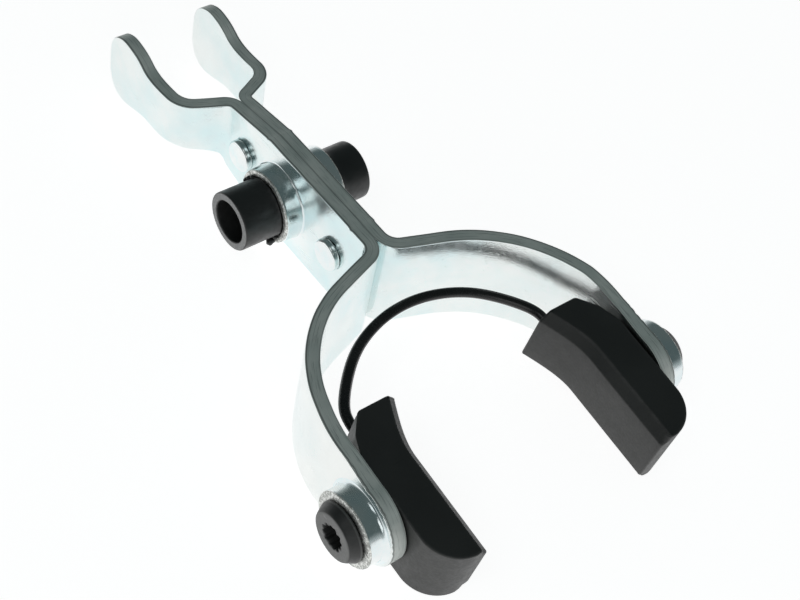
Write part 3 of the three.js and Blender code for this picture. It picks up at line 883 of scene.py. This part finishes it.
# ---- Turned pieces ----
def turned(shell, profile, count, finish, axis=(0.0, 0.0), shape=None, wear=()):
    """Rings of (radius, x) round the x axis through (y, z). shape changes (radius, x) at an angle."""
    rings = []
    for k, (radius, x) in enumerate(profile):
        spots = []
        for a in np.linspace(0, 2 * math.pi, count, endpoint=False):
            r, out = shape(radius, x, a, k) if shape else (radius, x)
            spots.append((out, axis[0] + r * math.cos(a), axis[1] + r * math.sin(a)))
        rings.append(shell.ring(spots, WEAR_AND_SHADE_DEPTH if k in wear else 0.0))
    shell.loft(rings, finish)
    return rings


def close(shell, ring, finish, flip=False):
    """A cap over the end ring of a turned piece, from its middle point."""
    middle = sum((shell.points[i] for i in ring), Vector()) / len(ring)
    hub = shell.ring([middle])[0]
    for k, i in enumerate(ring):
        j = ring[(k + 1) % len(ring)]
        ids = (j, i, hub) if flip else (i, j, hub)
        shell.face(ids, finish, [(shell.points[n].y, shell.points[n].z) for n in ids])


def bush_half(mouth):
    """(radius, x) of half of the bush, from its middle out along its skin and back along its bore."""
    skin = [(0, 0.0), (0, mouth - 1), (0, mouth), (0.16, mouth + 0.1), (0.1, mouth + 0.3), (0, mouth + 0.5)]
    skin += [(0, mouth + 2.5), (0, mouth + 5), (0, BUSH_HALF - 0.5), (-0.03, BUSH_HALF - 0.18)]
    skin += [(-0.12, BUSH_HALF - 0.04), (-0.25, BUSH_HALF), (-0.5, BUSH_HALF)]
    bore = [(0.5, BUSH_HALF), (0.25, BUSH_HALF), (0.07, BUSH_HALF - 0.06), (0, BUSH_HALF - 0.25)]
    bore += [(0, BUSH_HALF - 1), (0, 8), (0, 0)]
    return [(BUSH_RADIUS + r, x) for r, x in skin] + [(BORE_RADIUS + r, x) for r, x in bore]


def build_bush():
    """The moulded bush, with a ragged skin of flash where it leaves each collar."""
    shell = Shell()
    right, left = (bush_half(PIVOT_REACH[side] + 0.02) for side in ("right", "left"))
    outline = right + [(radius, -x) for radius, x in left[-2:0:-1]]
    rings = []
    for radius, x in outline:
        spots = []
        for a in np.linspace(0, 2 * math.pi, ROUND_COUNT, endpoint=False):
            r = radius
            spot = (math.cos(a) * BUSH_RADIUS, math.sin(a) * BUSH_RADIUS, x)
            if radius > BUSH_RADIUS + 0.05:
                r += 0.22 * max(0.0, ripple(spot, 1.1, 2.0))
            elif abs(x) > 8 and radius > BORE_RADIUS + 1.5:
                r += 0.02 * ripple(spot, 6.0, 4.0)
            spots.append((x, r * math.cos(a), r * math.sin(a)))
        rings.append(shell.ring(spots, WEAR_AND_SHADE_DEPTH if abs(abs(x) - BUSH_HALF) < 0.1 else 0.0))
    rings.append(rings[0])
    ends = [abs(abs(x) - BUSH_HALF) < 0.01 for radius, x in outline] + [False]
    shell.loft(rings, [1 if ends[k] and ends[k + 1] else 0 for k in range(len(rings) - 1)])
    shell.make("bush_moulding", "lever", [BUSH, CUT], ["pivot_bush"])


def lump(shell, centre, size, seed):
    """A small closed blob of flash."""
    rings = []
    for b in np.linspace(-80, 80, 9):
        ring = []
        for a in np.linspace(0, 360, LUMP_COUNT, endpoint=False):
            way = Vector((
                math.sin(math.radians(b)),
                math.cos(math.radians(b)) * math.cos(math.radians(a)),
                math.cos(math.radians(b)) * math.sin(math.radians(a)),
            ))
            stretch = 1 + 0.22 * ripple(way, 0.7, seed)
            ring.append(Vector(centre) + Vector(w * s for w, s in zip(way, size)) * stretch)
        rings.append(shell.ring(ring))
    shell.loft(rings, 0)
    close(shell, rings[0], 0, True)
    close(shell, rings[-1], 0)


def build_flash():
    """Nibs of flash beside the left collar: beads low down and torn ones above."""
    shell = Shell()
    mouth = PIVOT_REACH["left"]
    for x, radius, angle, size, seed in (
        (-mouth - 1.0, 7.85, -129, (0.95, 0.9, 0.95), 1.0),
        (-mouth - 0.5, 7.5, -122, (0.6, 0.95, 0.6), 2.0),
        (-mouth - 0.4, 7.25, -113, (0.5, 0.7, 0.5), 3.0),
        (-mouth - 0.4, 7.1, -143, (0.55, 0.6, 0.55), 7.0),
        (-mouth - 0.75, 7.2, 27, (0.8, 0.5, 0.6), 4.0),
        (-mouth - 0.6, 7.2, 36, (0.6, 0.6, 0.5), 5.0),
        (-mouth - 0.4, 7.1, 48, (0.5, 0.7, 0.4), 6.0),
    ):
        a = math.radians(angle)
        lump(shell, (x, radius * math.cos(a), radius * math.sin(a)), size, seed)
    shell.make("bush_flash", "lever", [BUSH], [])


def build_rivet(name, y, z):
    """A rivet with a low head on each side, its rim rounded over."""
    shell = Shell()
    radius, height = RIVET_HEAD["radius"], RIVET_HEAD["height"]
    top = SHEET + height
    half = [(RIVET_SHANK, x) for x in (0.0, SHEET - 0.3, SHEET + 0.04)] + [(radius - 0.2, SHEET + 0.04)]
    half += [(radius, SHEET + 0.16), (radius, SHEET + 0.5), (radius, top - 0.75)]
    half += arc((radius - 0.55, top - 0.6), 0.55, 8, 90, 6)
    half += [(radius - 1.0, top - 0.03), (radius - 2, top), (0.4, top)]
    other = [(r, -x) for r, x in half[:0:-1]]

    def uneven(r, x, a, k):
        return r + 0.05 * ripple((math.cos(a) * 4, math.sin(a) * 4, 0), 11.0, y), x

    rings = turned(shell, other + half, RIVET_COUNT, 0, (y, z), uneven)
    close(shell, rings[0], 0, True)
    close(shell, rings[-1], 0)
    shell.make(name + "_upset", "lever", [RIVET], [name])


# ---- Shoes ----
def from_shoe(p):
    """A point of the shoes' own frame, in the fork's frame."""
    turn = Matrix.Rotation(SHOE_PITCH, 3, "X")
    return turn @ Vector(p) + Vector((0, SHOE_AXIS_Y, 0))


def shoe_outline(set_back):
    """Outline of the right shoe in (x, u), anticlockwise from the toe, its face set_back behind the crown."""
    face = SHOE_FACE + set_back
    toe = arc((SHOE_BACK - TOE_RADIUS, TOE_U), TOE_RADIUS, -84, -4, 24)
    back = [(SHOE_BACK, -9), (SHOE_BACK, 0), (SHOE_BACK, 7.4), (SHOE_BACK - 0.12, 8.4)]
    back += [(SHOE_BACK - 1.6, 12.3), (SHOE_BACK - 2.0, 13.1)]
    back += [(SHOE_BACK - 5.1, SHOE_NEAR - 0.3), (SHOE_BACK - 5.7, SHOE_NEAR)]
    tip = [(face - 3.2, SHOE_NEAR), (face - 3.75, SHOE_NEAR - 0.12), (face - 3.85, SHOE_NEAR - 0.6)]
    curve = [(face - 4, SHOE_NEAR), (face - 2.4, 13.2), (face, 8.5), (face, 4)]
    sweep = []
    for t in np.linspace(0.07, 1, 24):
        w = ((1 - t) ** 3, 3 * t * (1 - t) ** 2, 3 * t * t * (1 - t), t ** 3)
        sweep.append(tuple(sum(k * p[d] for k, p in zip(w, curve)) for d in range(2)))
    low = TOE_U - TOE_RADIUS
    straight = [(face, u) for u in np.linspace(3, low + 0.9, 12)]
    corner = [(face - 0.02, low + 0.5), (face + 0.12, low + 0.22), (face + 0.5, low + 0.1)]
    return evenly(np.array([*toe, *back, *tip, *sweep, *straight, *corner]), SHOE_COUNT)


def build_shoe(name, mirror):
    """A moulded shoe: rounded outline, a bevel along each long edge of its working face, soft edges."""
    shell = Shell()
    h, across, down, r = SHOE_HALF_HEIGHT, BEVEL["across"], BEVEL["down"], SHOE_ROUND
    levels = [(across, r + 0.35, -h), (across, r, -h), (across, 0.3 * r, 0.3 * r - h), (across, 0, r - h)]
    slope = [(across * 0.94, r + 0.12 - h), (across * 0.1, down - 0.14 - h)]
    for t in (0, 0.08, 0.92, 1):
        levels.append((slope[0][0] * (1 - t) + slope[1][0] * t, 0, slope[0][1] * (1 - t) + slope[1][1] * t))
    levels.append((0.04, 0, down + 0.06 - h))
    levels += [(0, 0, down + 0.35 - h), (0, 0, -3), (0, 0, 0)]
    levels += [(back, inset, -w) for back, inset, w in levels[-2::-1]]
    rings = []
    for k, (set_back, inset, w) in enumerate(levels):
        loop = shoe_outline(set_back)
        loop = loop + inward(loop) * inset
        below = h - abs(w)
        edge = WEAR_AND_SHADE_DEPTH if 0.2 < below < 0.5 or abs(below) < 0.2 and inset < r + 0.1 else 0.0
        rings.append(shell.ring([(x, u, w) for x, u in loop], edge))
    shell.loft(rings, 0)
    for ring, flip in ((rings[0], True), (rings[-1], False)):
        corners = [Vector((*shell.points[i][:2], 0)) for i in ring]
        for triangle in tessellate_polygon([corners]):
            ids = [ring[k] for k in triangle]
            a, b, c = (shell.points[i] for i in ids)
            up = (b - a).cross(c - a).z > 0
            ids = ids if up != flip else ids[::-1]
            shell.face(ids, 0, [tuple(shell.points[i][:2]) for i in ids])
    shell.make(name + "_moulding", "shoes", [SHOE], [name], mirror, from_shoe)


def build_pin(name, mirror, seed):
    """A shoe pin: shank in the collar, a head over its rim, and a ragged twelve-point recess."""
    shell = Shell()
    under = SHOE_COLLAR["reach"] + 0.2
    face_x, depth = PIN["face_x"], PIN["depth"]
    profile = [(0.6, SHOE_BACK + 0.06), (PIN["radius"] - 0.05, SHOE_BACK + 0.06)]
    profile.append((PIN["radius"], SHOE_BACK + 0.5))
    profile += [(PIN["radius"], under - 0.3), (PIN["radius"], under), (PIN["head"] - 0.15, under)]
    profile += [(PIN["head"], under + 0.12), (PIN["head"], under + PIN["rim"] - 0.15)]
    profile += [(PIN["head"] - 0.12, under + PIN["rim"] + 0.1), (PIN["face"] + 0.35, face_x - 0.5)]
    profile += [(PIN["face"] + 0.08, face_x - 0.12), (PIN["face"] - 0.15, face_x)]
    profile.append((PIN["face"] - 0.5, face_x))
    rough_from = len(profile)
    socket = PIN["socket"]
    profile += [(socket + 0.5, face_x), (socket + 0.1, face_x - 0.02), (socket, face_x - 0.2)]
    profile += [(socket, face_x - 1.2), (socket - 0.1, face_x - depth + 0.3), (socket - 0.4, face_x - depth)]
    profile += [(0.8, face_x - depth)]

    def ragged(radius, x, a, k):
        if rough_from < k < len(profile) - 1:
            radius += 0.22 * math.cos(12 * a) + 0.3 * ripple((math.cos(a) * 3, math.sin(a) * 3, 0), 1.3, seed)
            radius += 0.12 * ripple((math.cos(a) * 3, math.sin(a) * 3, x), 0.5, seed + 2)
        return radius, x

    # Rings 7 and 11 to 13 take the paler grey: the head rim and the flat face.
    rings = turned(shell, profile, PIN_COUNT, 0, (0, 0), ragged, wear=(7, 11, 12, 13))
    close(shell, rings[0], 0, True)
    close(shell, rings[-1], 0)
    shell.make(name + "_moulding", "shoes", [PIN_FINISH], [name], mirror, from_shoe)


def build_rod():
    """The thin rod between the shoes, with a fine parting ridge along both sides."""
    shell = Shell()
    seat = [from_shoe((ROD_SEAT[0], SHOE_NEAR - d, ROD_SEAT[1])) for d in (0.8, -0.1)]
    right = [*seat, *(Vector(p) for p in ROD_ROUTE)]
    left = [Vector((-p.x, p.y, p.z)) for p in right[-2::-1]]
    route = [Vector(p) for p in smooth_line([tuple(p) for p in right + left], 10)]
    rings = []
    for k, here in enumerate(route):
        along = (route[min(k + 1, len(route) - 1)] - route[max(k - 1, 0)]).normalized()
        side = along.cross(Vector((0, 0, 1))).normalized()
        up = side.cross(along)
        ring = []
        for i in range(ROD_COUNT):
            a = 2 * math.pi * i / ROD_COUNT
            ridge = 0.09 if i in (0, ROD_COUNT // 2) else 0.0
            radius = ROD_RADIUS + ridge + 0.02 * ripple(here + Vector((i, 0, 0)), 3.0, 6.0)
            ring.append(here + (side * math.cos(a) + up * math.sin(a)) * radius)
        rings.append(shell.ring(ring))
    rings = [ring[::-1] for ring in rings]
    shell.loft(rings, 0)
    close(shell, rings[0], 0, True)
    close(shell, rings[-1], 0)
    shell.make("rod_moulding", "shoes", [ROD], ["shoe_rod"])


build_arm("right", False, 11.0)
build_arm("left", True, 23.0)
build_bush()
build_flash()
for rivet_name, (rivet_y, rivet_z) in RIVETS.items():
    build_rivet(rivet_name, rivet_y, rivet_z)
build_shoe("right_shoe", False)
build_shoe("left_shoe", True)
build_pin("right_shoe_pin", False, 3.0)
build_pin("left_shoe_pin", True, 7.0)
build_rod()


# ---- Floor, light and surroundings ----
def make_floor():
    """A wide pale table that glows, and is less bright far off except to the camera."""
    mesh = bpy.data.meshes.new("table")
    reach = 3.0
    corners = [(-reach, -reach, 0), (reach, -reach, 0), (reach, reach, 0), (-reach, reach, 0)]
    mesh.from_pydata(corners, [], [(0, 1, 2, 3)])
    table = bpy.data.objects.new("table", mesh)
    bpy.context.scene.collection.objects.link(table)
    finish = Finish("table_white", Roughness=0.9)
    finish.shader.inputs["Base Color"].default_value = (0.45, 0.45, 0.45, 1)
    finish.shader.inputs["Emission Color"].default_value = (1, 1, 1, 1)
    tree = finish.tree
    reach_out = tree.nodes.new("ShaderNodeVectorMath")
    reach_out.operation = "LENGTH"
    feed(tree, reach_out.inputs[0], finish.position)
    glow = span(tree, reach_out.outputs["Value"], 0.1, 0.6, 0.9, 0.5)
    seen = tree.nodes.new("ShaderNodeLightPath").outputs["Is Camera Ray"]
    finish.set("Emission Strength", math_node(tree, "MAXIMUM", glow, times(tree, seen, 0.9)))
    mesh.materials.append(finish.material)


def make_surroundings():
    """A dim studio that pales towards the table, and is near white to the camera."""
    world = bpy.data.worlds.new("studio")
    bpy.context.scene.world = world
    world.use_nodes = True
    tree = world.node_tree
    background = tree.nodes["Background"]
    way = tree.nodes.new("ShaderNodeTexCoord").outputs["Generated"]
    parts = tree.nodes.new("ShaderNodeSeparateXYZ")
    tree.links.new(way, parts.inputs[0])
    haze = span(tree, parts.outputs["Z"], 0.0, 0.34)
    room = blend_colour(tree, haze, (0.42, 0.45, 0.45, 1), (0.085, 0.11, 0.11, 1))
    seen = tree.nodes.new("ShaderNodeLightPath").outputs["Is Camera Ray"]
    tree.links.new(blend_colour(tree, seen, room, (0.95, 0.955, 0.955, 1)), background.inputs["Color"])
    background.inputs["Strength"].default_value = 1.0


def make_light(name, place, aim, size, power):
    data = bpy.data.lights.new(name, "AREA")
    data.shape = "RECTANGLE"
    data.size, data.size_y = size
    data.energy = power
    light = bpy.data.objects.new(name, data)
    bpy.context.scene.collection.objects.link(light)
    light.location = place
    light.rotation_mode = "QUATERNION"
    light.rotation_quaternion = (Vector(aim) - Vector(place)).to_track_quat("-Z", "Y")


make_floor()
make_surroundings()
make_light("side_softbox", (-0.49, -0.754, 0.438), (0, 0, 0), (0.5, 0.5), 0.8)
make_light("top_softbox", (-0.56, -0.16, 0.815), (0, 0, 0), (0.34, 0.5), 0.55)
bpy.context.scene.view_settings.view_transform = "Standard"
bpy.context.scene.view_settings.look = "None"
